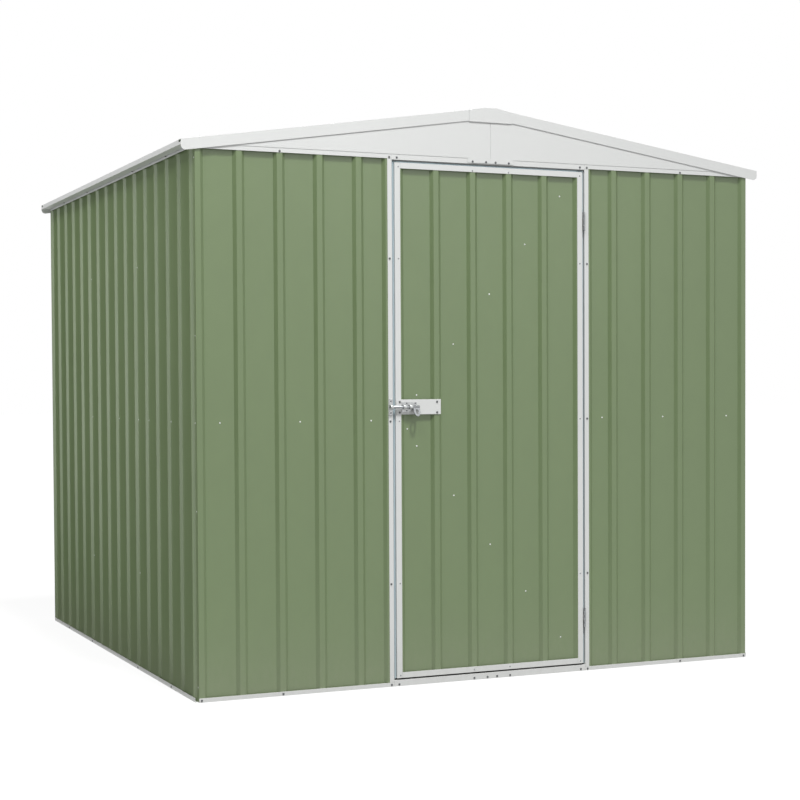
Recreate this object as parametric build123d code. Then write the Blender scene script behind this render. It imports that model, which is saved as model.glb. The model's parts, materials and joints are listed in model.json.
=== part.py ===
from build123d import *
import math
import os

# A small garden tool shed of roll-formed painted steel sheet. Ribbed sheets stand in folded channels,
# a low double-pitched roof rests on them, and one outward door hangs on the front with a pad bolt.
# The origin is on the ground under the middle of the shed. +X is to the right of someone who faces
# the door, +Y goes to the back and +Z goes up. All sizes are in millimetres.

# Sheet profile
rib_pitch = 150.0
rib_crest = 20.0
rib_web_run = 12.0
rib_height = 9.0
least_pan = 40.0
sheet_t = 0.7
channel_t = 0.9
fit = 0.3

# Walls
width = 2282.0
depth = 2282.0
sheet_pitches = 5
side_first_rib = 48.0
corner_lip = 18.0
corner_crest = 8.0
wall_top = 1939.0
base_channel_h = 15.0
top_channel_h = 18.0
side_top_channel_h = 15.5
channel_inner_h = 26.0
girt_height = 969.5
girt_web = 34.0
girt_depth = 18.0
girt_setback = 12.0

# Roof
roof_slope = 0.1495
roof_rib_height = 13.0
eave_overhang = 50.0
verge_gap = 4.4
trim_t = 0.7
barge_depth = 39.3
barge_flange = 26.0
barge_corner = 16.0
eave_trim_face = 18.0
eave_trim_flange = 20.0
eave_trim_lip = 35.0
ridge_half_gap = 12.0
cap_half = 89.0
cap_flat = 27.0
cap_rise = 1.0
cap_notch_margin = 3.0
cap_closure_drop = 2.5
ridge_beam_w = 40.0
ridge_beam_h = 50.0
gable_foot = 13.0
gable_lap = 1.5
gable_seam = 0.6
gable_joiner_w = 60.0
splice_half = 95.0
splice_step = 6.0
splice_tab_rise = 4.0

# Doorway and door leaf
opening_w = 802.0
jamb_w = 17.5
jamb_crest = 7.0
stop_w = 11.0
stop_clearance = 4.0
head_h = 21.5
head_stop = 8.0
sill_h = 22.5
leaf_gap_latch = 11.0
leaf_gap_hinge = 9.5
leaf_gap_sill = 6.3
leaf_gap_head = 9.7
stile_w = 22.0
stile_rib = 15.5
rail_h = 21.0
brace_w = 34.0
brace_depth = 9.0
brace_start = 8.0
brace_end = 12.0

# Hinges
hinge_low = 205.0
hinge_high = 1721.0
hinge_len = 72.0
hinge_leaf_w = 11.0
hinge_leaf_t = 1.2
knuckle_d = 8.0
hinge_pin_d = 4.0
knuckle_count = 3
knuckle_gap = 0.4
pin_clearance = 0.15
knuckle_seat = 0.5

# Pad bolt
latch_z = 1021.0
latch_plate_inset = 2.0
latch_plate_w = 179.0
latch_plate_h = 55.0
latch_plate_t = 1.2
bolt_plate_inset = 23.0
bolt_plate_w = 60.0
bolt_plate_h = 36.0
bolt_plate_t = 2.0
rod_d = 10.0
rod_reach = 7.0
handle_inset = 90.0
rod_clearance = 0.35
rod_lift = 1.5
guide_w = 12.0
guide_wall = 2.5
guide_inset = 3.0
guide_spacing = 24.0
keeper_w = 14.0
keeper_h = 58.0
handle_w = 26.0
handle_l = 44.0
handle_t = 3.0
handle_top = 6.0
handle_slot_w = 11.0
handle_slot_l = 19.0
handle_slot_drop = 4.0
handle_tilt = 25.0

# Sizes that follow from the ones above
half_w = width / 2
half_d = depth / 2
front_crest = -half_d
front_pan = front_crest + rib_height
lap_lift = sheet_t + fit
channel_face = -half_d - fit - channel_t
channel_back = front_pan + sheet_t + 2 * fit + 2 * channel_t
lapped_channel_face = channel_face - lap_lift
side_channel_out = half_w + rib_height + lap_lift + fit + channel_t
side_channel_in = half_w - sheet_t - 2 * fit - 2 * channel_t
rib_foot = rib_crest / 2 + rib_web_run
corner_rib = rib_crest / 2
slope_angle = math.atan(roof_slope)
along_slope = 1 / math.cos(slope_angle)
roof_stack = (sheet_t + roof_rib_height + lap_lift + fit) * along_slope
eave_out = half_w + eave_overhang
verge_in = half_d + verge_gap - trim_t
verge_edge = verge_in - fit
gable_face = channel_face - fit - sheet_t
jamb_in = opening_w / 2
jamb_out = jamb_in + jamb_w
door_face = channel_face
leaf_left = -jamb_in + leaf_gap_latch
leaf_right = jamb_in - leaf_gap_hinge
leaf_middle = (leaf_left + leaf_right) / 2
leaf_bottom = sill_h + leaf_gap_sill
leaf_top = wall_top - head_h - leaf_gap_head
leaf_crest = door_face + channel_t + fit
leaf_pan = leaf_crest + rib_height
leaf_back = leaf_pan + sheet_t + fit + channel_t
stop_y = leaf_back + stop_clearance


def pitches_in(length):
    """How many whole rib pitches fit in a length."""
    return int(length // rib_pitch)


def roof_under(x):
    """Height of the underside of the roof sheets at x."""
    return wall_top + fit + roof_slope * (side_channel_out - abs(x))


def barge_top(x):
    """Height of the top of the barge board at x."""
    return roof_under(x) + roof_stack + trim_t * along_slope


# Folded sections
def beside(points, distance):
    """The path through points, moved to its left by distance with mitred corners."""
    moved = []
    normals = []
    for start, end in zip(points, points[1:]):
        run = math.hypot(end[0] - start[0], end[1] - start[1])
        normals.append(((start[1] - end[1]) / run, (end[0] - start[0]) / run))
    for index, point in enumerate(points):
        before = normals[max(index - 1, 0)]
        after = normals[min(index, len(normals) - 1)]
        reach = distance / (1 + before[0] * after[0] + before[1] * after[1])
        moved.append((point[0] + reach * (before[0] + after[0]), point[1] + reach * (before[1] + after[1])))
    return moved


def folded(points, thickness):
    """Closed outline of a sheet bent along points, with its thickness on the left of the path."""
    return points + beside(points, thickness)[::-1]


def face_of(outline):
    return make_face(Polyline(outline, close=True))


def upright(outline, bottom, top):
    """A plan outline raised from bottom to top."""
    return extrude(Pos(0, 0, bottom) * face_of(outline), amount=top - bottom, dir=(0, 0, 1))


def along_x(outline, start, end):
    """An outline in Y and Z run from x = start to x = end."""
    plane = Plane(origin=(start, 0, 0), x_dir=(0, 1, 0), z_dir=(1, 0, 0))
    return extrude(plane * face_of(outline), amount=end - start, dir=(1, 0, 0))


def along_y(outline, start, end):
    """An outline in X and Z run from y = start to y = end."""
    plane = Plane(origin=(0, start, 0), x_dir=(1, 0, 0), z_dir=(0, -1, 0))
    return extrude(plane * face_of(outline), amount=end - start, dir=(0, 1, 0))


def block(x, y, z):
    """A box between two X, two Y and two Z values."""
    size = Box(x[1] - x[0], y[1] - y[0], z[1] - z[0], align=(Align.MIN, Align.MIN, Align.MIN))
    return Pos(x[0], y[0], z[0]) * size


def to_back(shape):
    """The same piece on the opposite end of the shed."""
    return mirror(shape, about=Plane.XZ)


def to_right(shape):
    """The same piece on the opposite side of the shed."""
    return mirror(shape, about=Plane.YZ)


def save(name, *solids):
    shape = solids[0] if len(solids) == 1 else Compound(children=list(solids))
    export_step(shape, "parts/" + name + ".step")


# Ribbed sheets: along the wall is the first number and outwards is the second, with the pan at 0
def rib(centre, height=rib_height, lift=0.0):
    """Outer line of one rib, held lift outside the plain one."""
    web_angle = math.atan2(height, rib_web_run)
    foot = rib_foot + lift / math.sin(web_angle)
    crest = rib_crest / 2 + lift * math.tan(web_angle / 2)
    high = height + lift
    return [(centre - foot, 0), (centre - crest, high), (centre + crest, high), (centre + foot, 0)]


def lapping_rib(centre, height=rib_height):
    """The last rib of a sheet, which lies over the first rib of the next sheet."""
    points = rib(centre, height, lap_lift)
    web_angle = math.atan2(height, rib_web_run)
    end = centre + rib_foot + lap_lift * math.tan(web_angle / 2)
    return points[:3] + [(end, lap_lift)]


def ribbed(start, centres, end, laps):
    """Outline of a ribbed sheet from the points in start, over its ribs, to the points in end."""
    points = list(start)
    for centre in centres[:-1]:
        points += rib(centre)
    points += lapping_rib(centres[-1]) if laps else rib(centres[-1])
    return folded(points + list(end), -sheet_t)


def crest_edged_sheets(length, height):
    """Outlines of lapped sheets that fill a length, with their outer crests run to its two ends."""
    outlines = []
    last = pitches_in(length - rib_crest)
    first_centre = (length - last * rib_pitch) / 2
    for first in range(0, last, sheet_pitches):
        final = min(first + sheet_pitches, last)
        points = []
        for index in range(first, final + 1):
            centre = first_centre + index * rib_pitch
            if index == final and final < last:
                points += lapping_rib(centre, height)
            elif index == last:
                points += rib(centre, height)[:2] + [(length, height)]
            elif index == 0:
                points += [(0, height)] + rib(centre, height)[2:]
            else:
                points += rib(centre, height)
        outlines.append(folded(points, -sheet_t))
    return outlines


def side_wall_sheets():
    """Outlines of a side wall's sheets, with a lip turned in behind the front and back walls."""
    outlines = []
    last = pitches_in(depth - side_first_rib - rib_foot - least_pan)
    centres = [side_first_rib + index * rib_pitch for index in range(last + 1)]
    tuck = sheet_t + fit
    for first in range(0, last, sheet_pitches):
        final = min(first + sheet_pitches, last)
        start = [(tuck, -corner_lip), (tuck, 0)] if first == 0 else []
        ends_wall = final == last
        crest_start = depth - tuck - corner_crest
        end = [
            (crest_start - rib_web_run, 0),
            (crest_start, rib_height),
            (depth - tuck, rib_height),
            (depth - tuck, -corner_lip),
        ] if ends_wall else []
        outlines.append(ribbed(start, centres[first:final + 1], end, not ends_wall))
    return outlines


sheet_low = channel_t + fit
sheet_high = wall_top - channel_t - fit


def make_walls():
    # Each half of the front ends on a crest under the jamb's face, so it has no lap
    jamb_foot = half_w - jamb_out - jamb_crest - rib_web_run
    points = rib(corner_rib)[1:]
    for index in range(1, pitches_in(jamb_foot - least_pan - rib_foot - corner_rib) + 1):
        points += rib(corner_rib + index * rib_pitch)
    points += [
        (jamb_foot, 0),
        (jamb_foot + rib_web_run, rib_height),
        (half_w - jamb_in - channel_t - fit, rib_height),
    ]
    front = [(u - half_w, front_pan - v) for u, v in folded(points, -sheet_t)]
    front_left = upright(front, sheet_low, sheet_high)
    save("front_wall_left", front_left)
    save("front_wall_right", to_right(front_left))

    for number, outline in enumerate(crest_edged_sheets(width, rib_height), 1):
        plan = [(half_w - u, -front_pan + v) for u, v in outline]
        save("back_wall_" + str(number), upright(plan, sheet_low, sheet_high))

    for number, outline in enumerate(side_wall_sheets(), 1):
        plan = [(-half_w - v, u - half_d) for u, v in outline]
        sheet = upright(plan, sheet_low, sheet_high)
        save("left_wall_" + str(number), sheet)
        save("right_wall_" + str(number), to_right(sheet))


# Channels that hold the sheets' edges
def base_section(face, back, face_h):
    return folded([(face, face_h), (face, 0), (back, 0), (back, channel_inner_h)], channel_t)


def top_section(face, back, face_h):
    path = [(back, wall_top - channel_inner_h), (back, wall_top), (face, wall_top), (face, wall_top - face_h)]
    return folded(path, channel_t)


def make_channels():
    # The side walls' sheets run to the corners through notches in the inner legs
    leg_y = (channel_back - channel_t - fit, channel_back + fit)
    notch = block((-half_w - fit, -half_w + sheet_t + fit), leg_y, (sheet_low - fit, sheet_high + fit))
    notches = notch + to_right(notch)
    base_front = along_x(base_section(channel_face, channel_back, base_channel_h), -half_w, -jamb_in) - notch
    save("base_channel_front", base_front, to_right(base_front))
    base_back = along_x(base_section(lapped_channel_face, channel_back, base_channel_h), -half_w, half_w)
    save("base_channel_back", to_back(base_back - notches))
    top_front = along_x(top_section(channel_face, channel_back, top_channel_h), -half_w, -jamb_in) - notch
    save("top_channel_front", top_front, to_right(top_front))
    top_back = along_x(top_section(lapped_channel_face, channel_back, top_channel_h), -half_w, half_w)
    save("top_channel_back", to_back(top_back - notches))

    side_end = channel_back + fit
    base_outline = base_section(-side_channel_out, -side_channel_in, base_channel_h)
    base_side = along_y(base_outline, side_end, -side_end)
    save("base_channel_left", base_side)
    save("base_channel_right", to_right(base_side))
    top_outline = top_section(-side_channel_out, -side_channel_in, side_top_channel_h)
    top_side = along_y(top_outline, side_end, -side_end)
    save("top_channel_left", top_side)
    save("top_channel_right", to_right(top_side))

    reach = jamb_in - fit
    for name, low, high, stop in (
        ("door_sill", 0, sill_h, 0),
        ("door_head", wall_top - head_h, wall_top, head_stop),
    ):
        path = [(channel_face, low), (channel_face, high), (channel_back, high), (channel_back, low - stop)]
        save(name, along_x(folded(path, -channel_t), -reach, reach))


def make_jambs():
    """Posts beside the doorway, folded in past the leaf to a door stop, and cut round the channels."""
    path = [
        (-jamb_out, channel_face),
        (-jamb_in, channel_face),
        (-jamb_in, stop_y),
        (-jamb_in + stop_w, stop_y),
    ]
    jamb = upright(folded(path, channel_t), sheet_low, sheet_high)
    cut_x = (-jamb_out - fit, -jamb_in + stop_w + fit)
    face_y = (channel_face - fit, front_crest)
    leg_y = (channel_back - channel_t - fit, stop_y + channel_t + fit)
    for y, low, high in (
        (face_y, base_channel_h, top_channel_h),
        (leg_y, channel_inner_h, channel_inner_h),
    ):
        jamb -= block(cut_x, y, (sheet_low - fit, low + fit))
        jamb -= block(cut_x, y, (wall_top - high - fit, sheet_high + fit))
    save("door_jamb_left", jamb)
    save("door_jamb_right", to_right(jamb))


def make_girts():
    """Rails inside the walls at half height, with their webs on the sheets' pans."""
    low = girt_height - girt_web / 2
    high = girt_height + girt_web / 2
    wall_in = front_pan + sheet_t + fit
    side_in = half_w - sheet_t - fit
    front_path = [(wall_in + girt_depth, low), (wall_in, low), (wall_in, high), (wall_in + girt_depth, high)]
    side_path = [(girt_depth - side_in, low), (-side_in, low), (-side_in, high), (girt_depth - side_in, high)]
    front_start = -side_in + girt_depth + fit
    front_end = -jamb_in - channel_t - girt_setback
    front = along_x(folded(front_path, -channel_t), front_start, front_end)
    back = to_back(along_x(folded(front_path, -channel_t), front_start, -front_start))
    side = along_y(folded(side_path, -channel_t), wall_in, -wall_in)
    save("wall_girts", front, to_right(front), back, side, to_right(side))


# Roof
def roof_rib_centres():
    """The Y values of the middles of the roof's ribs."""
    last = pitches_in(2 * verge_edge - rib_crest)
    return [(index - last / 2) * rib_pitch for index in range(last + 1)]


def make_roof():
    """Two slopes of three lapped sheets, whose ribs run from the ridge to the eaves."""
    eave_x = -eave_out + trim_t + fit + roof_slope * roof_stack
    ridge_x = -ridge_half_gap
    plane = Plane(
        origin=(eave_x, 0, roof_under(eave_x)),
        x_dir=(0, 1, 0),
        z_dir=(math.cos(slope_angle), 0, math.sin(slope_angle)),
    )
    run = (ridge_x - eave_x) * along_slope
    sheets = []
    for outline in crest_edged_sheets(2 * verge_edge, roof_rib_height):
        section = face_of([(u - verge_edge, v + sheet_t) for u, v in outline])
        sheets.append(extrude(plane * section, amount=run, dir=plane.z_dir))
    save("roof_left", *sheets)
    save("roof_right", *[to_right(sheet) for sheet in sheets])


def make_gables():
    """Flat gable panels in two halves, hung a little over the top channels, and the beam between them."""
    foot = wall_top + fit
    edge = -gable_seam / 2
    for name, face, turn in (
        ("gable_front", gable_face, lambda shape: shape),
        ("gable_back", gable_face - lap_lift, to_back),
    ):
        outline = [
            (-half_w, wall_top - gable_lap),
            (edge, wall_top - gable_lap),
            (edge, roof_under(edge) - fit),
            (-half_w, roof_under(half_w) - fit),
        ]
        panel = along_y(outline, face, face + sheet_t)
        panel += block((-half_w, edge), (face, face + gable_foot), (foot, foot + sheet_t))
        save(name, turn(panel), turn(to_right(panel)))

    behind = gable_face + sheet_t + fit
    beam_half = ridge_beam_w / 2
    beam_top = roof_under(beam_half) - fit
    beam_low = beam_top - ridge_beam_h
    beam_path = [(-beam_half, beam_low), (-beam_half, beam_top), (beam_half, beam_top), (beam_half, beam_low)]
    save("ridge_beam", along_y(folded(beam_path, -channel_t), behind, -behind))


def make_joiners():
    """Plates behind the gables' seams, and over their feet in the middle of the walls."""
    half = gable_joiner_w / 2
    foot = wall_top + 2 * fit + sheet_t
    below_beam = roof_under(ridge_beam_w / 2) - ridge_beam_h - 2 * fit
    low = wall_top - top_channel_h
    outline = [
        (-splice_half, low),
        (splice_half, low),
        (splice_half, wall_top - fit),
        (-splice_step, wall_top - fit),
        (-splice_step, wall_top + splice_tab_rise),
        (-splice_half, wall_top + splice_tab_rise),
    ]
    plates = []
    for face, turn in ((gable_face, lambda shape: shape), (gable_face - lap_lift, to_back)):
        front_of = face - fit - sheet_t
        behind = face + sheet_t + fit
        plates.append(turn(along_y(outline, front_of, front_of + sheet_t)))
        plates.append(turn(block((-half, half), (behind, behind + channel_t), (foot, below_beam))))
    save("joiner_plates", *plates)


def make_barges():
    """Boards along the roof's front and back edges, turned in over the ribs."""
    ridge_end = -cap_half - fit
    lower = barge_top(eave_out) - barge_depth
    upper = barge_top(ridge_end) - barge_depth
    face = face_of([
        (-eave_out, lower),
        (ridge_end, upper),
        (ridge_end, barge_top(ridge_end)),
        (-eave_out, barge_top(eave_out)),
    ])
    corner = face.vertices().sort_by(Axis.Y)[0]
    face = fillet(corner, barge_corner)
    plane = Plane(origin=(0, -verge_in - trim_t, 0), x_dir=(1, 0, 0), z_dir=(0, -1, 0))
    board = extrude(plane * face, amount=trim_t, dir=(0, 1, 0))

    thick = trim_t * along_slope
    flange = [
        (-eave_out, barge_top(eave_out) - thick),
        (ridge_end, barge_top(ridge_end) - thick),
        (ridge_end, barge_top(ridge_end)),
        (-eave_out, barge_top(eave_out)),
    ]
    board += along_y(flange, -verge_in - trim_t, -verge_in - trim_t + barge_flange)
    save("barge_front", board, to_right(board))
    save("barge_back", to_back(board), to_back(to_right(board)))


def make_eave_trims():
    """Channels that close the lower ends of the roof sheets."""
    top = roof_under(eave_out) + roof_stack + trim_t * along_slope
    low = top - eave_trim_face
    path = [
        (-eave_out + eave_trim_lip, low),
        (-eave_out, low),
        (-eave_out, top),
        (-eave_out + eave_trim_flange, top + roof_slope * eave_trim_flange),
    ]
    end = -verge_edge
    plain = along_y(folded(path, -trim_t), end, -end)
    under_barge = (end, end + barge_flange)
    clear_x = (-eave_out, -eave_out + eave_trim_flange + trim_t)
    clear = block(clear_x, under_barge, (low + eave_trim_face / 2, top + eave_trim_flange))
    plain -= clear
    plain -= to_back(clear)
    save("eave_trim_left", plain)
    save("eave_trim_right", to_right(plain))


def make_ridge_cap():
    """Cap over the ridge, flat on top, notched over the ribs and closed over the barge boards' joint."""
    rim = barge_top(cap_half) + fit
    crown = barge_top(ridge_half_gap) + cap_rise
    ribs_top = roof_under(cap_half) + roof_stack
    lip_end = roof_under(cap_half) + (sheet_t + fit) * along_slope
    upper = [(-cap_half, rim), (-cap_flat, crown), (cap_flat, crown), (cap_half, rim)]
    path = [(-cap_half, lip_end)] + upper + [(cap_half, lip_end)]
    cap_end = -verge_in - 2 * trim_t
    cap = along_y(folded(path, -trim_t), cap_end, -cap_end)
    notch_half = rib_foot + lap_lift + cap_notch_margin
    notches = []
    for centre in roof_rib_centres():
        sides = (centre - notch_half, centre + notch_half)
        notches.append(block((-cap_half - fit, -cap_half + trim_t + fit), sides, (lip_end - fit, ribs_top)))
    cap -= notches
    cap -= [to_right(notch) for notch in notches]
    closure_bottom = barge_top(cap_half) - barge_depth - cap_closure_drop
    closing = [(-cap_half, closure_bottom), (cap_half, closure_bottom)] + upper[::-1]
    closure = along_y(closing, cap_end, cap_end + trim_t)
    save("ridge_cap", cap + closure + to_back(closure))


# Door leaf
def make_door():
    low = leaf_bottom + channel_t + fit
    high = leaf_top - channel_t - fit
    first = leaf_left + stile_rib
    last = leaf_right - stile_rib
    inner_ribs = round((last - first) / rib_pitch) - 1
    points = [(leaf_left + channel_t + fit, rib_height)] + rib(first)[2:]
    for index in range(inner_ribs):
        points += rib(leaf_middle + (index - (inner_ribs - 1) / 2) * rib_pitch)
    points += rib(last)[:2] + [(leaf_right - channel_t - fit, rib_height)]
    plan = [(u, leaf_pan - v) for u, v in folded(points, -sheet_t)]
    save("door_panel", upright(plan, low, high))

    def stile(edge, inward):
        lip = edge + inward * stile_w
        path = [(lip, door_face), (edge, door_face), (edge, leaf_back), (lip, leaf_back)]
        return upright(folded(path, -inward * channel_t), leaf_bottom, leaf_top)

    save("door_stile_latch", stile(leaf_left, 1))
    save("door_stile_hinge", stile(leaf_right, -1))

    def rail(edge, inward):
        lip = edge + inward * rail_h
        path = [(door_face, lip), (door_face, edge), (leaf_back, edge), (leaf_back, lip)]
        outline = folded(path, inward * channel_t)
        return along_x(outline, leaf_left + stile_w + fit, leaf_right - stile_w - fit)

    save("door_rails", rail(leaf_bottom, 1), rail(leaf_top, -1))

    # Two braces fan out from the latch side, fixed to the back of the panel's pans
    seat = leaf_pan + sheet_t + fit
    inner_left = leaf_left + stile_w + fit
    inner_right = leaf_right - stile_w - fit
    ends = (leaf_top - brace_end, leaf_bottom + brace_end)
    braces = []
    for up, end in zip((1, -1), ends):
        start = girt_height + up * brace_start
        section = folded([
            (seat + brace_depth, -brace_w / 2),
            (seat, -brace_w / 2),
            (seat, brace_w / 2),
            (seat + brace_depth, brace_w / 2),
        ], -channel_t)
        middle = Vector((inner_left + inner_right) / 2, 0, (start + end) / 2)
        heading = Vector(inner_right - inner_left, 0, end - start).normalized()
        length = math.hypot(inner_right - inner_left, end - start) + 4 * brace_w
        plane = Plane(origin=middle - heading * (length / 2), x_dir=(0, 1, 0), z_dir=heading)
        bar = extrude(plane * face_of(section), amount=length, dir=heading)
        if up > 0:
            span = (girt_height + fit, leaf_top - rail_h - fit)
        else:
            span = (leaf_bottom + rail_h + fit, girt_height - fit)
        bar &= block((inner_left, inner_right), (seat, seat + brace_depth), span)
        braces.append(bar)
    save("door_braces", *braces)


# Butt hinges in the gap beside the leaf
hinge_x = (leaf_right + jamb_in) / 2
hinge_y = door_face - knuckle_d / 2 - knuckle_seat


def round_bar(radius, low, high):
    """A bar on the hinge axis from low to high."""
    plane = Plane(origin=(hinge_x, hinge_y, low))
    return extrude(plane * Circle(radius), amount=high - low, dir=(0, 0, 1))


def hinge_leaf(centre_z, plate_x, knuckles, with_pin):
    """One leaf of a butt hinge: plate_x is the plate's low and high X, knuckles are its own."""
    bottom = centre_z - hinge_len / 2
    step = hinge_len / knuckle_count
    start_y = hinge_y + knuckle_d / 2 + knuckle_seat
    leaf = block(plate_x, (start_y, start_y + hinge_leaf_w), (bottom, bottom + hinge_len))
    for index in knuckles:
        low = bottom + index * step + (knuckle_gap / 2 if index > 0 else 0)
        high = bottom + (index + 1) * step - (knuckle_gap / 2 if index < knuckle_count - 1 else 0)
        leaf += block(plate_x, (hinge_y, start_y), (low, high))
        leaf += round_bar(knuckle_d / 2, low, high)
    if with_pin:
        return leaf + round_bar(hinge_pin_d / 2, bottom, bottom + hinge_len)
    return leaf - round_bar(hinge_pin_d / 2 + pin_clearance, bottom, bottom + hinge_len)


def make_hinges():
    outer = range(0, knuckle_count, 2)
    inner = range(1, knuckle_count, 2)
    frame_x = (jamb_in - hinge_leaf_t, jamb_in)
    door_x = (leaf_right, leaf_right + hinge_leaf_t)
    heights = (hinge_low, hinge_high)
    save("hinge_frame_leaves", *[hinge_leaf(z, frame_x, outer, True) for z in heights])
    save("hinge_door_leaves", *[hinge_leaf(z, door_x, inner, False) for z in heights])


# Pad bolt
plate_front = door_face - fit - latch_plate_t
body_front = plate_front - fit - bolt_plate_t
rod_y = body_front - rod_lift - rod_d / 2
bolt_plate_left = leaf_left + bolt_plate_inset
rod_left = -jamb_in - rod_reach
rod_right = leaf_left + handle_inset


def guide(start_x, seat_y):
    """A strap bent over the rod, with its feet on a plate at seat_y."""
    outer = rod_d / 2 + rod_clearance + guide_wall
    inner = rod_d / 2 + rod_clearance
    plane = Plane(origin=(start_x, rod_y, latch_z), x_dir=(0, 1, 0), z_dir=(1, 0, 0))
    reach = seat_y - rod_y
    section = Circle(outer) + Pos(reach / 2, 0) * Rectangle(reach, 2 * outer)
    section -= Circle(inner)
    return extrude(plane * section, amount=guide_w, dir=(1, 0, 0))


def make_latch():
    plate_z = (latch_z - latch_plate_h / 2, latch_z + latch_plate_h / 2)
    plate_left = leaf_left + latch_plate_inset
    plate_x = (plate_left, plate_left + latch_plate_w)
    save("latch_plate", block(plate_x, (plate_front, plate_front + latch_plate_t), plate_z))

    body_x = (bolt_plate_left, bolt_plate_left + bolt_plate_w)
    body_z = (latch_z - bolt_plate_h / 2, latch_z + bolt_plate_h / 2)
    body = block(body_x, (body_front, body_front + bolt_plate_t), body_z)
    for index in range(2):
        body += guide(bolt_plate_left + guide_inset + index * guide_spacing, body_front)
    save("pad_bolt_body", body)

    keeper_seat = door_face - fit - bolt_plate_t
    keeper_mid = -(jamb_in + jamb_out) / 2
    keeper_x = (keeper_mid - keeper_w / 2, keeper_mid + keeper_w / 2)
    keeper_z = (latch_z - keeper_h / 2, latch_z + keeper_h / 2)
    keeper = block(keeper_x, (keeper_seat, keeper_seat + bolt_plate_t), keeper_z)
    keeper += guide(keeper_mid - guide_w / 2, keeper_seat)
    save("bolt_keeper", keeper)


def make_bolt():
    """Round rod with a flat loop for a handle and a padlock, hanging towards the front."""
    rod_plane = Plane(origin=(rod_left, rod_y, latch_z), x_dir=(0, 1, 0), z_dir=(1, 0, 0))
    rod = extrude(rod_plane * Circle(rod_d / 2), amount=rod_right - rod_left, dir=(1, 0, 0))
    tilt = math.radians(handle_tilt)
    centre_x = rod_right - handle_w / 2
    normal = Vector(0, math.cos(tilt), -math.sin(tilt))
    plane = Plane(origin=(centre_x, rod_y, latch_z), x_dir=(1, 0, 0), z_dir=normal)
    drop = handle_l / 2 - handle_top
    loop = Pos(0, drop) * Ellipse(handle_w / 2, handle_l / 2)
    loop -= Pos(0, drop + handle_slot_drop) * Ellipse(handle_slot_w / 2, handle_slot_l / 2)
    handle = extrude(plane * loop, amount=handle_t / 2, both=True)
    save("bolt", rod + handle)


os.makedirs("parts", exist_ok=True)
make_walls()
make_channels()
make_jambs()
make_girts()
make_roof()
make_gables()
make_joiners()
make_barges()
make_eave_trims()
make_ridge_cap()
make_door()
make_hinges()
make_latch()
make_bolt()
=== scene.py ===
# %% [markdown]
# A garden tool shed of ribbed painted steel
#
# This lesson dresses a small flat-pack shed. The construction, with every sheet, channel and hinge at its
# real size, comes in as a fixed frame. Here it gets its paint, its fixings and its light. The shed stands
# on the ground at the origin: +X is to the right of someone who faces the door, +Y goes to the back wall,
# +Z goes up, and everything is in metres.

# %% Load the frame
import bpy
import bmesh
import json
import math
from mathutils import Matrix, Vector


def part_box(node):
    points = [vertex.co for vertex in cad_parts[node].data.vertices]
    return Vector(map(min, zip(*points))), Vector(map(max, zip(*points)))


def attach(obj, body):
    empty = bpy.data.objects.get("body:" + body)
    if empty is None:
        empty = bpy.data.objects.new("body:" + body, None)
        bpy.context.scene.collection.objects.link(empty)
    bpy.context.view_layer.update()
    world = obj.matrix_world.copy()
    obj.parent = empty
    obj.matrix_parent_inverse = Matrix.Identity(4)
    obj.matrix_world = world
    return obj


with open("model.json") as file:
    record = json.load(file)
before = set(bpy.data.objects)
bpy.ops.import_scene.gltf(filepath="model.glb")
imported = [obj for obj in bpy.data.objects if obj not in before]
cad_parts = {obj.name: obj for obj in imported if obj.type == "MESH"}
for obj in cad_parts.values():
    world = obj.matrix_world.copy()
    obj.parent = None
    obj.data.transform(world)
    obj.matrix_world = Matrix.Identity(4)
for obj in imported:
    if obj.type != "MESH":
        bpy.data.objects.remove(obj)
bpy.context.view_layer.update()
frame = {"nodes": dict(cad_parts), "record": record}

# %% [markdown]
# The camera
#
# A shed is drawn from a corner so that its front and one side both show. The camera could be placed by
# eye, but then no rib would fall where it should. Instead its place, turn and lens were worked out from
# the wall ribs, which all stand the same distance apart. The picture's optical centre is a little left of
# and below its middle, and the shift settings hold that.

# %% The camera
eye = Vector((-2.8375, -6.7139, 1.1002))
heading = math.radians(23.733)
tilt = math.radians(-1.683)
lean = math.radians(-0.301)
focal_px = 1672.5
picture_px = 800.0
centre_px = (396.4, 434.4)
film_mm = 36.0

forward = Vector((math.sin(heading) * math.cos(tilt), math.cos(heading) * math.cos(tilt), math.sin(tilt)))
level = Vector((math.cos(heading), -math.sin(heading), 0.0))
upward = level.cross(forward)
across = level * math.cos(lean) + upward * math.sin(lean)
upright = upward * math.cos(lean) - level * math.sin(lean)

camera_data = bpy.data.cameras.new("camera")
camera_data.sensor_width = film_mm
camera_data.lens = focal_px / picture_px * film_mm
camera_data.shift_x = (picture_px / 2 - centre_px[0]) / picture_px
camera_data.shift_y = (centre_px[1] - picture_px / 2) / picture_px
camera = bpy.data.objects.new("camera", camera_data)
turn = Matrix((across, upright, -forward)).transposed().to_4x4()
camera.matrix_world = Matrix.Translation(eye) @ turn
bpy.context.scene.collection.objects.link(camera)
bpy.context.scene.camera = camera
print("lens %.1f mm" % camera_data.lens)

# %% [markdown]
# The white surroundings
#
# A product picture is taken in a white room. White walls would light the shed from every side and wash its
# colours out, so the world here has two strengths: it is white for the camera and in reflections, and
# much dimmer as light. A Light Path node tells the two apart.

# %% The white surroundings
backdrop_level = 1.0
ambient_level = 0.31


def math_node(tree, operation, first, second):
    node = tree.nodes.new("ShaderNodeMath")
    node.operation = operation
    for socket, value in zip(node.inputs, (first, second)):
        if isinstance(value, (int, float)):
            socket.default_value = value
        else:
            tree.links.new(value, socket)
    return node.outputs[0]


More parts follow.
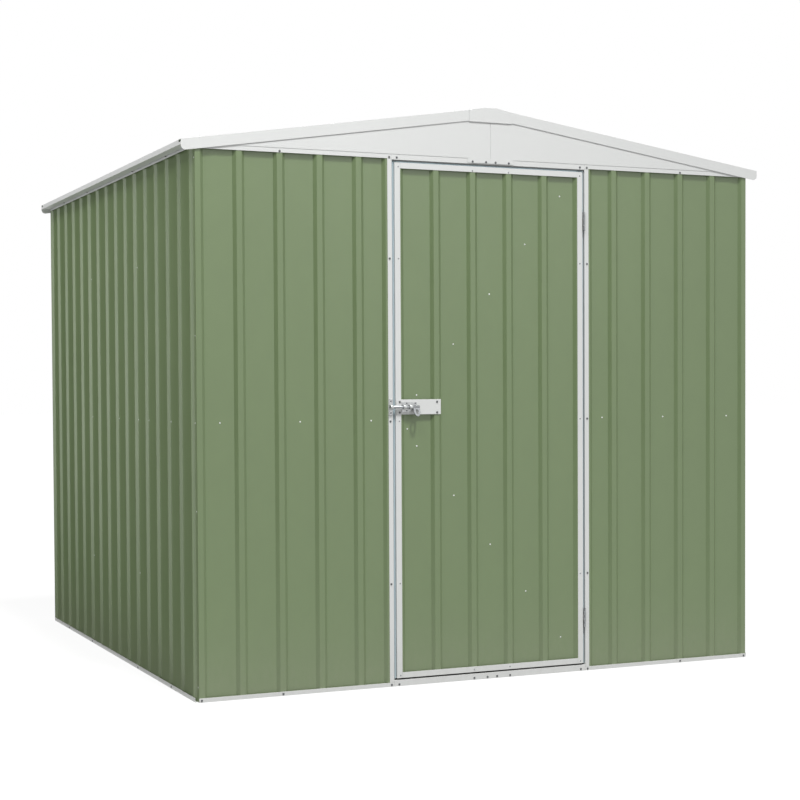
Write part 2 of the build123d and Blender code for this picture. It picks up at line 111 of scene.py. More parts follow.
def seen_directly(tree):
    """A mask that is 1 for camera, glossy and transmission rays."""
    path = tree.nodes.new("ShaderNodeLightPath")
    total = path.outputs["Is Camera Ray"]
    for name in ("Is Glossy Ray", "Is Transmission Ray"):
        total = math_node(tree, "MAXIMUM", total, path.outputs[name])
    return total


def make_world():
    world = bpy.data.worlds.new("studio")
    world.use_nodes = True
    tree = world.node_tree
    background = tree.nodes["Background"]
    background.inputs["Color"].default_value = (1.0, 1.0, 1.0, 1.0)
    level_mix = tree.nodes.new("ShaderNodeMix")
    level_mix.inputs["A"].default_value = ambient_level
    level_mix.inputs["B"].default_value = backdrop_level
    tree.links.new(seen_directly(tree), level_mix.inputs["Factor"])
    tree.links.new(level_mix.outputs["Result"], background.inputs["Strength"])
    bpy.context.scene.world = world


make_world()
bpy.context.scene.view_settings.view_transform = "Standard"
print("world: %.2f as light, %.2f as backdrop" % (ambient_level, backdrop_level))

# %% [markdown]
# The floor
#
# The shed stands on pale paper. Lit by lamps alone the paper would be grey, so it glows where the camera
# sees it, and it still takes the shed's shadow. Inside the shed lies plain paper without the glow,
# because the ground behind an open door is dark.

# %% The floor
floor_glow = 0.87
floor_half = 60.0
bounce_tone = 0.32
seen_tone = 0.15
inner_tone = 0.62
inner_half_x, inner_half_y, inner_z = 1.146, 1.135, 0.0006


def flat_square(half_x, half_y, z):
    return [(-half_x, -half_y, z), (half_x, -half_y, z), (half_x, half_y, z), (-half_x, half_y, z)]


def matt_cloth(name, tone, cover):
    """A dull plain material that covers its place fully at 1, and lets light through below that."""
    material = bpy.data.materials.new(name)
    material.use_nodes = True
    shader = material.node_tree.nodes["Principled BSDF"]
    shader.inputs["Base Color"].default_value = (tone, tone, tone, 1.0)
    shader.inputs["Roughness"].default_value = 1.0
    shader.inputs["Specular IOR Level"].default_value = 0.0
    shader.inputs["Alpha"].default_value = cover
    return material


def glowing_paper(name):
    material = matt_cloth(name, seen_tone, 1.0)
    tree = material.node_tree
    shader = tree.nodes["Principled BSDF"]
    tone = tree.nodes.new("ShaderNodeMix")
    tone.data_type = "RGBA"
    tone.inputs["A"].default_value = (bounce_tone, bounce_tone, bounce_tone, 1.0)
    tone.inputs["B"].default_value = (seen_tone, seen_tone, seen_tone, 1.0)
    tree.links.new(seen_directly(tree), tone.inputs["Factor"])
    tree.links.new(tone.outputs["Result"], shader.inputs["Base Color"])
    glow = math_node(tree, "MULTIPLY", seen_directly(tree), floor_glow)
    shader.inputs["Emission Color"].default_value = (1.0, 1.0, 1.0, 1.0)
    tree.links.new(glow, shader.inputs["Emission Strength"])
    return material


def make_card(name, corners, material):
    """A flat piece of staging, which is no part of the shed."""
    mesh = bpy.data.meshes.new(name)
    mesh.from_pydata(corners, [], [tuple(range(len(corners)))])
    card = bpy.data.objects.new(name, mesh)
    bpy.context.scene.collection.objects.link(card)
    mesh.materials.append(material)
    return card


make_card("floor", flat_square(floor_half, floor_half, 0.0), glowing_paper("floor_paper"))
inner_corners = flat_square(inner_half_x, inner_half_y, inner_z)
make_card("inner_ground", inner_corners, matt_cloth("inner_paper", inner_tone, 1.0))
print("floor: %.0f m wide" % (2 * floor_half))

# %% [markdown]
# The net and the black cards
#
# Photographers shape light with cloth. A net hangs over the roof and holds back half of the light there,
# since the roof faces the high lamp and its pale ridge would burn out. Two black cards stand, and one lies,
# where the side wall and the ribs would mirror the white room. A darker world would do that too, but it
# would dull every side at once. Only reflections see the cards, and there the green keeps its full colour.

# %% The net and the black cards
cloth_tone = 0.02
net_cover = 0.5
net_z = 2.55
card_top = 3.5

net_corners = [(-1.24, -1.29, net_z), (1.24, -1.29, net_z), (1.24, 1.30, net_z), (-1.24, 1.30, net_z)]
net = make_card("roof_net", net_corners, matt_cloth("black_net", cloth_tone, net_cover))
net.visible_camera = False

black_cloth = matt_cloth("black_cloth", cloth_tone, 1.0)


def make_dark_card(name, corners):
    """A black card that only reflections see."""
    card = make_card(name, corners, black_cloth)
    card.visible_camera = False
    card.visible_diffuse = False
    card.visible_transmission = False
    card.visible_shadow = False


def standing(start, end):
    """Corners of a card that stands on the ground between two places."""
    return [(*start, 0.0), (*end, 0.0), (*end, card_top), (*start, card_top)]


make_dark_card("rear_card", standing((-1.25, 3.0), (-5.5, 3.0)))
make_dark_card("ground_card", [(-1.16, -1.15, 0.003), (-1.16, 3.0, 0.003), (-5.5, 3.0, 0.003)])
make_dark_card("front_card", standing((-5.4, -2.7), (-2.2, -8.0)))
print("net at %.2f m, cards up to %.1f m" % (net_z, card_top))

# %% [markdown]
# The lamps
#
# A white room alone lights a shed so evenly that its ribs hardly show, so lamps do most of the work.
# One high lamp, like a sun through thin cloud, throws the short shadows under the channels. A panel over
# the front corner lights that corner most, a far panel on the right gives the paint its sheen, and two
# panels on the left light the side wall, one low and one above the eave. A dim panel behind keeps the back
# readable.

# %% The lamps
def make_lamp(name, kind, aim_from, aim_at, energy, size):
    """A lamp at one place turned to another. Its size is an angle for a sun, and a width for a panel."""
    data = bpy.data.lights.new(name, kind)
    data.energy = energy
    if kind == "SUN":
        data.angle = size
    else:
        data.shape = "SQUARE"
        data.size = size
    lamp = bpy.data.objects.new(name, data)
    lamp.location = aim_from
    lamp.rotation_euler = (Vector(aim_at) - Vector(aim_from)).to_track_quat("-Z", "Y").to_euler()
    bpy.context.scene.collection.objects.link(lamp)


haze_angle = math.radians(7.0)
make_lamp("high_lamp", "SUN", (0.6, -3.75, 8.0), (0.0, 0.0, 0.0), energy=2.75, size=haze_angle)
make_lamp("front_panel", "AREA", (-1.7, -2.5, 4.4), (-0.6, -1.0, 1.2), energy=60.0, size=1.6)
make_lamp("gloss_panel", "AREA", (3.0, -8.4, 3.9), (0.0, -1.0, 1.4), energy=46.0, size=3.4)
make_lamp("side_panel", "AREA", (-6.2, 0.55, 1.5), (0.0, 0.45, 1.3), energy=44.0, size=2.8)
make_lamp("side_high_panel", "AREA", (-3.7, 0.5, 4.6), (-1.1, 0.2, 1.2), energy=62.0, size=1.2)
make_lamp("back_panel", "AREA", (3.5, 9.0, 4.0), (0.0, 0.0, 1.0), energy=150.0, size=5.0)
print("lamps:", len(bpy.data.lights))

# %% [markdown]
# Shared effects
#
# Two things happen to every painted sheet. Thin steel is never quite flat, so its reflection wanders, and
# dust from the ground dulls the lowest part. Each is a node group, built once, that any paint can use
# with its own values. A group gives only colours, values and normals; the shader stays in the material.
# Both are measured in the shed's own coordinates, so they stay put when the camera moves.

# %% Building a node group
def new_group(name, inputs, outputs):
    group = bpy.data.node_groups.new(name, "ShaderNodeTree")
    for label, kind, value in inputs:
        socket = group.interface.new_socket(label, in_out="INPUT", socket_type="NodeSocket" + kind)
        socket.default_value = value
    for label, kind in outputs:
        group.interface.new_socket(label, in_out="OUTPUT", socket_type="NodeSocket" + kind)
    start = group.nodes.new("NodeGroupInput")
    end = group.nodes.new("NodeGroupOutput")
    return group, start, end


def stretched_noise(tree, stretch, scale, detail, roughness=0.5):
    """Noise in the shed's own coordinates, drawn out along one axis."""
    place = tree.nodes.new("ShaderNodeTexCoord")
    mapping = tree.nodes.new("ShaderNodeMapping")
    mapping.inputs["Scale"].default_value = stretch
    tree.links.new(place.outputs["Object"], mapping.inputs["Vector"])
    noise = tree.nodes.new("ShaderNodeTexNoise")
    noise.inputs["Detail"].default_value = detail
    noise.inputs["Roughness"].default_value = roughness
    tree.links.new(mapping.outputs["Vector"], noise.inputs["Vector"])
    if isinstance(scale, (int, float)):
        noise.inputs["Scale"].default_value = scale
    else:
        tree.links.new(scale, noise.inputs["Scale"])
    return noise.outputs["Fac"]


# %% [markdown]
# Waves in the sheet
#
# Rolled sheet carries long shallow waves along its length, and a paint film has a fine grain. Both are
# noise that only turns the surface's normal, since a wave of a third of a millimetre moves no outline.

# %% Waves in the sheet
def make_sheet_waviness():
    """Long shallow waves from rolling, and the fine grain of the paint film over them."""
    group, start, end = new_group(
        "sheet_waviness",
        [("Wave Scale", "Float", 5.0), ("Wave Height", "Float", 0.0006),
         ("Grain Scale", "Float", 900.0), ("Grain Height", "Float", 0.00002)],
        [("Normal", "Vector")],
    )
    wave = stretched_noise(group, (1.0, 1.0, 0.35), start.outputs["Wave Scale"], detail=1.0)
    grain = stretched_noise(group, (1.0, 1.0, 1.0), start.outputs["Grain Scale"], detail=2.0)
    high = math_node(group, "MULTIPLY", wave, start.outputs["Wave Height"])
    fine = math_node(group, "MULTIPLY", grain, start.outputs["Grain Height"])
    total = math_node(group, "ADD", high, fine)
    bump = group.nodes.new("ShaderNodeBump")
    bump.inputs["Distance"].default_value = 1.0
    group.links.new(total, bump.inputs["Height"])
    group.links.new(bump.outputs["Normal"], end.inputs["Normal"])
    return group


sheet_waviness = make_sheet_waviness()

# %% [markdown]
# The tone of the paint
#
# Paint on a large sheet is never one flat colour. Two sizes of noise lighten and darken it softly, and a
# speckled dust thins out towards the top of the lowest forty centimetres. A painted map could hold the
# same, but it would need an image, while noise and height fit a sheet of any size.

# %% The tone of the paint
def make_paint_tone():
    """Paint colour with a soft mottle, and dust that gathers towards the ground."""
    group, start, end = new_group(
        "paint_tone",
        [("Paint", "Color", (0.5, 0.5, 0.5, 1.0)), ("Dust", "Color", (0.3, 0.28, 0.24, 1.0)),
         ("Mottle", "Float", 0.05), ("Dust Amount", "Float", 0.1), ("Dust Top", "Float", 0.4)],
        [("Color", "Color"), ("Dust Mask", "Float")],
    )
    broad = stretched_noise(group, (1.0, 1.0, 0.5), scale=2.2, detail=3.0)
    cloud = stretched_noise(group, (1.0, 1.0, 0.8), scale=14.0, detail=4.0, roughness=0.6)
    both = math_node(group, "ADD", broad, cloud)
    centred = math_node(group, "SUBTRACT", both, 1.0)
    swing = math_node(group, "MULTIPLY", centred, start.outputs["Mottle"])
    gain = math_node(group, "ADD", swing, 1.0)
    scaled = group.nodes.new("ShaderNodeVectorMath")
    scaled.operation = "SCALE"
    group.links.new(start.outputs["Paint"], scaled.inputs[0])
    group.links.new(gain, scaled.inputs["Scale"])

    place = group.nodes.new("ShaderNodeTexCoord")
    split = group.nodes.new("ShaderNodeSeparateXYZ")
    group.links.new(place.outputs["Object"], split.inputs["Vector"])
    share = math_node(group, "DIVIDE", split.outputs["Z"], start.outputs["Dust Top"])
    low = math_node(group, "SUBTRACT", 1.0, share)
    low = math_node(group, "MAXIMUM", low, 0.0)
    low = math_node(group, "POWER", low, 2.0)
    speckle = stretched_noise(group, (1.0, 1.0, 0.4), scale=60.0, detail=4.0, roughness=0.7)
    dust = math_node(group, "MULTIPLY", low, speckle)
    dust = math_node(group, "MULTIPLY", dust, start.outputs["Dust Amount"])
    mix = group.nodes.new("ShaderNodeMix")
    mix.data_type = "RGBA"
    group.links.new(dust, mix.inputs["Factor"])
    group.links.new(scaled.outputs["Vector"], mix.inputs["A"])
    group.links.new(start.outputs["Dust"], mix.inputs["B"])
    group.links.new(mix.outputs["Result"], end.inputs["Color"])
    group.links.new(dust, end.inputs["Dust Mask"])
    return group


paint_tone = make_paint_tone()
print("groups:", [group.name for group in (sheet_waviness, paint_tone)])

# %% [markdown]
# Paints and metals
#
# The sheets are coated in a soft green and the folded trims in off-white. Both are satin rather than glossy,
# and the green mirrors a little more. The bolt and the hinges are zinc plated, with a duller plate on the
# pressed parts that carry the bolt. The rails inside are bare galvanised steel with its spangled crystals.
# The crystals could be more noise, but they have straight borders, so they are Voronoi cells instead, each
# with a tone and a gloss of its own.

# %% Paints and metals
gloss_spread = 0.12
dust_roughness = 0.3
crystal_tone = 0.22
crystal_gloss = 0.14


def group_node(tree, group, **values):
    node = tree.nodes.new("ShaderNodeGroup")
    node.node_tree = group
    for label, value in values.items():
        node.inputs[label.replace("_", " ")].default_value = value
    return node


def painted_steel(name, paint, roughness, specular, mottle, wave_height, dust_amount):
    material = bpy.data.materials.new(name)
    material.use_nodes = True
    tree = material.node_tree
    shader = tree.nodes["Principled BSDF"]
    shader.inputs["Specular IOR Level"].default_value = specular
    tone = group_node(tree, paint_tone, Paint=(*paint, 1.0), Mottle=mottle, Dust_Amount=dust_amount)
    tree.links.new(tone.outputs["Color"], shader.inputs["Base Color"])
    film = stretched_noise(tree, (1.0, 1.0, 0.3), scale=26.0, detail=3.0)
    spread = math_node(tree, "MULTIPLY", film, gloss_spread)
    satin = math_node(tree, "ADD", spread, roughness - gloss_spread / 2)
    dulling = math_node(tree, "MULTIPLY", tone.outputs["Dust Mask"], dust_roughness)
    dulled = math_node(tree, "ADD", satin, dulling)
    tree.links.new(dulled, shader.inputs["Roughness"])
    wavy = group_node(tree, sheet_waviness, Wave_Height=wave_height)
    tree.links.new(wavy.outputs["Normal"], shader.inputs["Normal"])
    return material


def plated_steel(name, colour, roughness, spangle):
    """Zinc on steel: small crystals that differ in brightness and in gloss."""
    material = bpy.data.materials.new(name)
    material.use_nodes = True
    tree = material.node_tree
    shader = tree.nodes["Principled BSDF"]
    shader.inputs["Metallic"].default_value = 1.0
    place = tree.nodes.new("ShaderNodeTexCoord")
    cells = tree.nodes.new("ShaderNodeTexVoronoi")
    cells.inputs["Scale"].default_value = spangle
    tree.links.new(place.outputs["Object"], cells.inputs["Vector"])
    tones = tree.nodes.new("ShaderNodeSeparateColor")
    tree.links.new(cells.outputs["Color"], tones.inputs["Color"])
    swing = math_node(tree, "MULTIPLY", tones.outputs["Red"], crystal_tone)
    gain = math_node(tree, "ADD", swing, 1.0 - crystal_tone / 2)
    tinted = tree.nodes.new("ShaderNodeVectorMath")
    tinted.operation = "SCALE"
    tinted.inputs[0].default_value = colour
    tree.links.new(gain, tinted.inputs["Scale"])
    tree.links.new(tinted.outputs["Vector"], shader.inputs["Base Color"])
    gloss = math_node(tree, "MULTIPLY", tones.outputs["Green"], crystal_gloss)
    gloss = math_node(tree, "ADD", gloss, roughness)
    tree.links.new(gloss, shader.inputs["Roughness"])
    wavy = group_node(tree, sheet_waviness, Wave_Height=0.0002, Grain_Scale=1500.0, Grain_Height=0.00001)
    tree.links.new(wavy.outputs["Normal"], shader.inputs["Normal"])
    return material


# %% [markdown]
# Giving each part its finish
#
# Finishes could be given to forty-six parts by hand, but the frame's record already says which one each
# part has, so a loop reads it there. The pad bolt's plate and keeper are pressed from zinc-plated sheet,
# which is duller than the drawn rod, so they take a finish of their own.

# %% Giving each part its finish
finishes = {
    "sheet_green": painted_steel(
        "sheet_green", (0.145, 0.205, 0.090), roughness=0.40, specular=0.90,
        mottle=0.10, wave_height=0.0003, dust_amount=0.35,
    ),
    "trim_white": painted_steel(
        "trim_white", (0.73, 0.74, 0.73), roughness=0.45, specular=0.30,
        mottle=0.03, wave_height=0.0002, dust_amount=0.25,
    ),
    "zinc_steel": plated_steel("zinc_steel", (0.30, 0.31, 0.32), roughness=0.26, spangle=420.0),
    "galvanised_inner": plated_steel("galvanised_inner", (0.55, 0.56, 0.57), roughness=0.38, spangle=90.0),
}
pressed_zinc = plated_steel("pressed_zinc", (0.46, 0.47, 0.47), roughness=0.42, spangle=420.0)
pressed_nodes = {"pad_bolt_body", "bolt_keeper"}
for part in frame["record"]["subparts"]:
    finish = pressed_zinc if part["node"] in pressed_nodes else finishes[part["material_slot"]]
    for slot in frame["nodes"][part["node"]].material_slots:
        slot.material = finish
print("finishes:", sorted(finishes))

# %% [markdown]
# Folded edges
#
# A folding machine leaves a small radius on every bend, and a dead sharp edge would give it away as a
# drawing. The bends are softened with a bevel of less than half a millimetre, which keeps the parts to
# their size. The parts' corners are joined first, because a bevel needs faces that share their edges.

# %% Folded edges
fold_radius = 0.0004
join_within = 0.00001
fold_angle = math.radians(50)
folded_slots = {"trim_white", "zinc_steel"}
folded = [part["node"] for part in frame["record"]["subparts"] if part["material_slot"] in folded_slots]
for name in folded:
    node = frame["nodes"][name]
    weld = node.modifiers.new("joined_corners", "WELD")
    weld.merge_threshold = join_within
    bevel = node.modifiers.new("fold", "BEVEL")
    bevel.width = fold_radius
    bevel.segments = 2
    bevel.limit_method = "ANGLE"
    bevel.angle_limit = fold_angle
    bevel.harden_normals = True
print("softened:", len(folded), "parts")

# %% [markdown]
# Screws and rivets
#
# A flat-pack shed is held by about two hundred small fixings, and they are what the eye reads as its scale.
# Every head starts as a profile turned round its axis, as on a lathe. A screw's crossed recess is then cut
# out with a boolean, since a real one is punched in after the turning.

# %% Turning and cutting a head
def turned(profile, sides):
    """A mesh turned round Z from (radius, height) points, closed on the axis at both ends."""
    shape = bmesh.new()
    rings = []
    for radius, height in profile:
        ring = []
        for step in range(sides):
            angle = 2 * math.pi * step / sides
            ring.append(shape.verts.new((radius * math.cos(angle), radius * math.sin(angle), height)))
        rings.append(ring)
    for low, high in zip(rings, rings[1:]):
        for step in range(sides):
            after = (step + 1) % sides
            shape.faces.new((low[step], low[after], high[after], high[step]))
    shape.faces.new(rings[0][::-1])
    shape.faces.new(rings[-1])
    return shape


def cut_cross(head, arm_length, arm_width, depth, top):
    """The head with a crossed recess sunk from its top."""
    tool_shape = bmesh.new()
    for length, width in ((arm_length, arm_width), (arm_width, arm_length)):
        made = bmesh.ops.create_cube(tool_shape, size=1.0)["verts"]
        bmesh.ops.scale(tool_shape, verts=made, vec=(length, width, 2 * depth))
        bmesh.ops.translate(tool_shape, verts=made, vec=(0.0, 0.0, top))
    holders = []
    for name, shape in (("head", head), ("recess", tool_shape)):
        mesh = bpy.data.meshes.new(name)
        shape.to_mesh(mesh)
        shape.free()
        holder = bpy.data.objects.new(name, mesh)
        bpy.context.scene.collection.objects.link(holder)
        holders.append(holder)
    cut = holders[0].modifiers.new("recess", "BOOLEAN")
    cut.operation = "DIFFERENCE"
    cut.solver = "EXACT"
    cut.use_self = True
    cut.object = holders[1]
    bpy.context.view_layer.update()
    result = bmesh.new()
    result.from_object(holders[0], bpy.context.evaluated_depsgraph_get())
    for holder in holders:
        bpy.data.meshes.remove(holder.data)
    return result


def keep_template(shape, name):
    mesh = bpy.data.meshes.new(name)
    shape.to_mesh(mesh)
    shape.free()
    return mesh


# %% [markdown]
# The three heads
#
# Trims take pan-head screws, the sheets take bright domed rivets with a dimple where the pin broke off, and
# the roof takes hexagon heads on washers. Flat discs would do from afar, but close up the domes and the
# recess catch the light. Their profiles are written in millimetres, as on a drawing.

# %% The three heads
mm = 0.001
pan_profile = [(4.0, 0.0), (4.0, 0.5), (3.9, 1.2), (3.4, 1.9), (2.6, 2.3), (1.4, 2.45)]
rivet_profile = [(2.9, 0.0), (2.9, 0.25), (2.65, 0.70), (2.05, 1.05), (1.2, 1.25), (1.0, 0.95)]
washer_profile = [(7.5, 0.0), (7.5, 0.9), (7.0, 1.3), (5.2, 1.6), (4.6, 1.6)]
hexagon_profile = [(4.6, 1.6), (4.6, 5.2), (3.9, 5.9)]
recess_length, recess_width, recess_depth = 4.2 * mm, 1.0 * mm, 1.4 * mm


def in_metres(profile):
    return [(radius * mm, height * mm) for radius, height in profile]


pan_top = pan_profile[-1][1] * mm
plain_pan = turned(in_metres(pan_profile), sides=20)
pan_head = keep_template(cut_cross(plain_pan, recess_length, recess_width, recess_depth, pan_top), "pan_head")
rivet_head = keep_template(turned(in_metres(rivet_profile), sides=18), "rivet_head")
washer = turned(in_metres(washer_profile), sides=24)
hexagon = turned(in_metres(hexagon_profile), sides=6)
spare = bpy.data.meshes.new("hexagon")
hexagon.to_mesh(spare)
hexagon.free()
washer.from_mesh(spare)
bpy.data.meshes.remove(spare)
roof_head = keep_template(washer, "roof_head")
print("heads:", [(mesh.name, len(mesh.polygons)) for mesh in (pan_head, rivet_head, roof_head)])

# %% [markdown]
# Dropping the heads onto the sheets
#
# Each head could be given a measured depth, but then a sheet that moved would leave it behind. Instead a
# straight line goes from outside to the wanted place, and the head sits where the line first meets a
# surface, turned square to it. On a flat face it neither floats nor sinks, and on the edge of a fold it
# leans. The heads differ in turn, because nobody stops every screw at the same angle. Heads of one kind on
# one body are one mesh, which keeps the objects few.

# %% Dropping the heads onto the sheets
line_length = 0.3
turn_between_heads = 2.4
head_crease = math.radians(35)
to_front = Vector((0.0, -1.0, 0.0))
to_rear = Vector((0.0, 1.0, 0.0))
to_left = Vector((-1.0, 0.0, 0.0))
to_right = Vector((1.0, 0.0, 0.0))
to_sky = Vector((0.0, 0.0, 1.0))


def seats(points, outward, standoff=0.12):
    """Where lines from outside first meet the shed, and how the surface faces there."""
    graph = bpy.context.evaluated_depsgraph_get()
    found = []
    for point in points:
        start = Vector(point) + outward * standoff
        cast = bpy.context.scene.ray_cast(graph, start, -outward, distance=line_length)
        hit, place, normal, _, piece, _ = cast
        if not hit:
            raise ValueError("nothing to sit on at %s" % (point,))
        if normal.dot(outward) < 0.0:
            normal = -normal
        found.append((place, normal, piece.name))
    return found


def fixings(name, template, found, body, finish):
    """One mesh of heads, one at each seat."""
    joined = bmesh.new()
    for index, (place, normal, _) in enumerate(found):
        start = len(joined.verts)
        joined.from_mesh(template)
        joined.verts.ensure_lookup_table()
        spin = Matrix.Rotation(index * turn_between_heads, 4, "Z")
        aim = normal.to_track_quat("Z", "Y").to_matrix().to_4x4()
        seat = Matrix.Translation(place) @ aim @ spin
        bmesh.ops.transform(joined, matrix=seat, verts=joined.verts[start:])
    mesh = bpy.data.meshes.new(name)
    joined.to_mesh(mesh)
    joined.free()
    for face in mesh.polygons:
        face.use_smooth = True
    mesh.set_sharp_from_angle(angle=head_crease)
    mesh.materials.append(finish)
    piece = bpy.data.objects.new(name, mesh)
    bpy.context.scene.collection.objects.link(piece)
    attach(piece, body)
    print(name, len(found), "heads on", sorted({under for _, _, under in found}))


def mirrored(points):
    return [(-x, y, z) for x, y, z in points]


def both_sides(points):
    """The points, and the same points on the other side of the shed's middle."""
    return points + mirrored(points)


# Screws on the trims and the lock are dark zinc, and their dark tone also paints the shade of their small
# recesses over the whole head.
dark_zinc_and_recess_shade = plated_steel("dark_zinc_and_recess_shade", (0.16, 0.165, 0.17), roughness=0.45, spangle=300.0)
grey_rivet = plated_steel("grey_rivet", (0.30, 0.31, 0.32), roughness=0.40, spangle=300.0)
bright_rivet = painted_steel(
    "bright_rivet", (0.84, 0.85, 0.84), roughness=0.35, specular=0.50,
    mottle=0.02, wave_height=0.0, dust_amount=0.0,
)

# %% [markdown]
# The fixings on the front
#
# Screws hold the channels at head and foot, and the jambs at three heights. The door has rivets on its
# stiles and rails. Most come in mirrored pairs, so one half is written down and the other is worked out.

# %% The front
front_y = -1.14
head_z = 1.926
foot_z = 0.0072
jamb_x = 0.411
corner_x = 1.132
rib_x = 0.075
inner_x, outer_x = 0.381, 0.831
head_xs = (0.020, rib_x, inner_x, jamb_x, outer_x)
fixing_heights = (0.376, 0.969, 1.560)


def on_front(xs, zs):
    return [(x, front_y, z) for x in xs for z in zs]


front = both_sides(on_front(head_xs, (head_z,)))
front += both_sides(on_front((*head_xs, corner_x), (foot_z,)))
front += both_sides(on_front((jamb_x,), fixing_heights))
fixings("frame_screws", pan_head, seats(front, to_front), "shed", dark_zinc_and_recess_shade)

leaf = on_front((-0.3755, 0.3800), (0.039, *fixing_heights, 1.893))
leaf += both_sides(on_front((rib_x,), (0.039, 1.892)))
fixings("leaf_rivets", rivet_head, seats(leaf, to_front), "door", grey_rivet)

# %% [markdown]
# The fixings of the lock
#
# The strap under the bolt has a screw in each corner, and the bolt's plate and its keeper are riveted on.
# Dots of dark paint would be quicker, but the eye rests on the lock, so it gets the same modelled heads.

# %% The fixings of the lock
strap = on_front((-0.3745, -0.2245), (1.0005, 1.0395))
fixings("latch_plate_screws", pan_head, seats(strap, to_front), "door", dark_zinc_and_recess_shade)
bolt_plate = on_front((-0.3475, -0.3135), (1.0075, 1.0345))
fixings("pad_bolt_rivets", rivet_head, seats(bolt_plate, to_front), "door", dark_zinc_and_recess_shade)
keeper = on_front((-0.410,), (0.9995, 1.0425))
fixings("keeper_screws", rivet_head, seats(keeper, to_front), "shed", dark_zinc_and_recess_shade)

# %% [markdown]
# The rivets of the braces
#
# Two braces run behind the door's panel from the latch to the corners at the hinges. From the front only
# their rivets show, one in each pan, in a wide zigzag. They could be spread evenly along each brace, but a
# rivet needs a pan to sit in, so they stand one rib apart.

# %% The rivets of the braces
zigzag_step = 0.150
zigzag_x = -0.302
upper_zs = (1.064, 1.251, 1.438, 1.627, 1.813)
lower_zs = (0.877, 0.691, 0.503, 0.319, 0.135)
zigzag = [(-0.340, front_y, 0.940)]
for heights in (upper_zs, lower_zs):
    zigzag += [(zigzag_x + zigzag_step * k, front_y, z) for k, z in enumerate(heights)]
fixings("brace_rivets", rivet_head, seats(zigzag, to_front), "door", bright_rivet)

# %% [markdown]
# The door seal
#
# A pale strip of foam closes most of the gap round the door: up both sides and across the top. Its blue-grey
# tone is painted: it stands for the bluish shade that lies in the gap. It is a half-round section, glued to
# the leaf's edges just behind its face, and it stops short of the frame so that it never rubs. A bevelled
# curve could make it too, but a section that is built point by point can be flat behind and round in front.

# %% A half-round strip
def half_round_strip(shape, low, high, axis):
    """A strip along Z or X with a rounded front, set in the box from low to high."""
    width_axis = 0 if axis == 2 else 2
    centre = (low[width_axis] + high[width_axis]) / 2
    half = (high[width_axis] - low[width_axis]) / 2
    steps = 8
    rings = []
    for end in (low[axis], high[axis]):
        ring = []
        outline = [(centre - half, high.y), (centre + half, high.y)]
        for step in range(steps + 1):
            angle = math.pi * step / steps
            outline.append((centre + half * math.cos(angle), low.y + half * (1.0 - math.sin(angle))))
        for across_place, y in outline:
            point = Vector((0.0, y, 0.0))
            point[width_axis] = across_place
            point[axis] = end
            ring.append(shape.verts.new(point))
        rings.append(ring)
    count = len(rings[0])
    for step in range(count):
        after = (step + 1) % count
        shape.faces.new((rings[0][step], rings[0][after], rings[1][after], rings[1][step]))
    shape.faces.new(rings[0])
    shape.faces.new(rings[1][::-1])


# %% [markdown]
# Three lengths go round the leaf. The one beside the hinges is a little narrower, because the leaf turns
# there, and the one along the top lies between the other two.

# %% The door seal
seal_width = 0.0080
hinge_seal_width = 0.0065
head_seal_width = 0.0065
seal_front = -1.1370
seal_back = -1.1225
seal_crease = math.radians(50)

leaf_low, leaf_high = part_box("door_stile_latch")[0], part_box("door_stile_hinge")[1]
seal_top = leaf_high.z + head_seal_width
latch_side = (leaf_low.x - seal_width, leaf_low.x)
hinge_side = (leaf_high.x, leaf_high.x + hinge_seal_width)
seal_shape = bmesh.new()
for left, right in (latch_side, hinge_side):
    low = Vector((left, seal_front, leaf_low.z))
    high = Vector((right, seal_back, seal_top))
    half_round_strip(seal_shape, low, high, axis=2)
low = Vector((leaf_low.x, seal_front, leaf_high.z))
high = Vector((leaf_high.x, seal_back, seal_top))
half_round_strip(seal_shape, low, high, axis=0)
bmesh.ops.recalc_face_normals(seal_shape, faces=seal_shape.faces[:])
seal_mesh = bpy.data.meshes.new("door_seal")
seal_shape.to_mesh(seal_mesh)
seal_shape.free()
for face in seal_mesh.polygons:
    face.use_smooth = True
seal_mesh.set_sharp_from_angle(angle=seal_crease)
# The foam's pale blue-grey is painted shade: it stands for the bluish shade in the gap round the door.
seal_foam_painted_gap_shade = painted_steel(
    "seal_foam_painted_gap_shade", (0.46, 0.56, 0.60), roughness=0.85, specular=0.20,
    mottle=0.05, wave_height=0.0, dust_amount=0.2,
)
seal_mesh.materials.append(seal_foam_painted_gap_shade)
door_seal = bpy.data.objects.new("door_seal", seal_mesh)
bpy.context.scene.collection.objects.link(door_seal)
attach(door_seal, "door")
print("door seal faces:", len(seal_mesh.polygons))

# %% [markdown]
# The fixings on the walls
#
# Bright rivets join the sheets to the rail at half height, to each other at the laps, and to the front
# sheets down each front corner. The side walls are alike, so the right one takes the left one's places in
# mirror image.

# %% The walls
rib_pitch = 0.150
first_rib_y = -1.093
beside_rib = -0.030
rail_z = 0.972
side_x, side_corner_y, back_y = -1.14, -1.130, 1.13
corner_heights = (0.052, 0.665, 1.275, 1.890)
rail_ribs = (0, 2, 4, 5, 7, 10)
lap_ribs = (5, 10)
lap_heights = (fixing_heights[0], fixing_heights[2])


def on_side(rib, z):
    """A place in the pan beside one of the side wall's ribs, counted from the front."""
    return side_x, first_rib_y + rib_pitch * rib + beside_rib, z


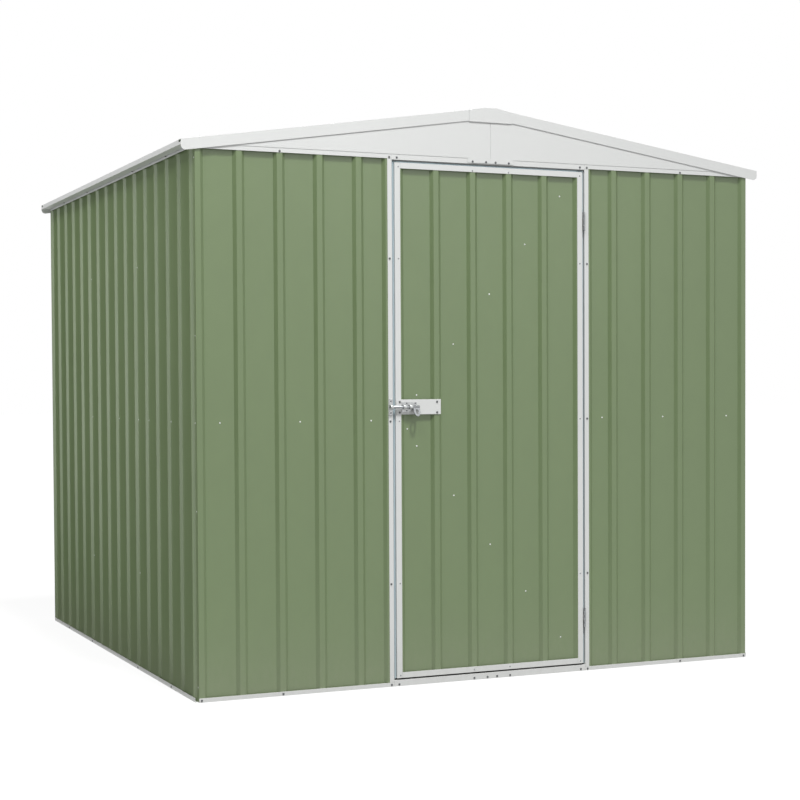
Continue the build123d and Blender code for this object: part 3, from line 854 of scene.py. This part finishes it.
walls = both_sides(on_front((0.483, 0.757, 1.055), (rail_z,)))
sides = [(side_x, side_corner_y, z) for z in corner_heights]
sides += [on_side(rib, rail_z) for rib in rail_ribs]
sides += [on_side(rib, z) for rib in lap_ribs for z in lap_heights]
back = both_sides([(x, back_y, rail_z) for x in (0.300, 0.755, 1.055)])
back += both_sides([(inner_x, back_y, z) for z in fixing_heights])
wall_seats = seats(walls, to_front) + seats(sides, to_left) + seats(mirrored(sides), to_right)
wall_seats += seats(back, to_rear)
fixings("wall_rivets", rivet_head, wall_seats, "shed", bright_rivet)

# %% [markdown]
# The screws in the side and back trims
#
# The channels of the sides and the back have screws at the foot, and the back one has them at the head
# too. High on the sides the eave trim reaches in below the roof. The lines there start close to the wall
# and meet the rounded edge of the trim's lower lip, so those eight heads face down more than out.

# %% The screws in the side and back trims
under_eave = 0.02
side_trim_x, back_trim_y = -1.15, 1.14
side_head_z = 1.932
side_screw_ys = (-0.832, -0.368, 0.381, 0.825)
trims = [(side_trim_x, y, z) for y in side_screw_ys for z in (foot_z, side_head_z)]
back_foot = both_sides([(x, back_trim_y, foot_z) for x in (rib_x, inner_x, outer_x, corner_x)])
back_head = both_sides([(x, back_trim_y, head_z) for x in (inner_x, outer_x)])
trim_seats = seats(trims, to_left, under_eave) + seats(mirrored(trims), to_right, under_eave)
trim_seats += seats(back_foot + back_head, to_rear)
fixings("trim_screws", pan_head, trim_seats, "shed", dark_zinc_and_recess_shade)

# %% [markdown]
# The fixings on the roof
#
# Roof screws go through the crests, where water does not run, and each has a washer under a hexagon head.
# The row next to the ridge goes through the ridge cap too, and the foremost head of each other row sits on
# the flange of the front barge board. Two loops place them all, since they follow the ribs.

# %% The roof
roof_rows = (0.070, 0.140, 0.620, 1.120)
roof_z = 2.05
screwed_ribs = [rib_pitch * (k + 0.5) for k in range(-8, 8, 2)]
roof = both_sides([(x, y, roof_z) for x in roof_rows for y in screwed_ribs])
fixings("roof_screws", roof_head, seats(roof, to_sky), "shed", bright_rivet)
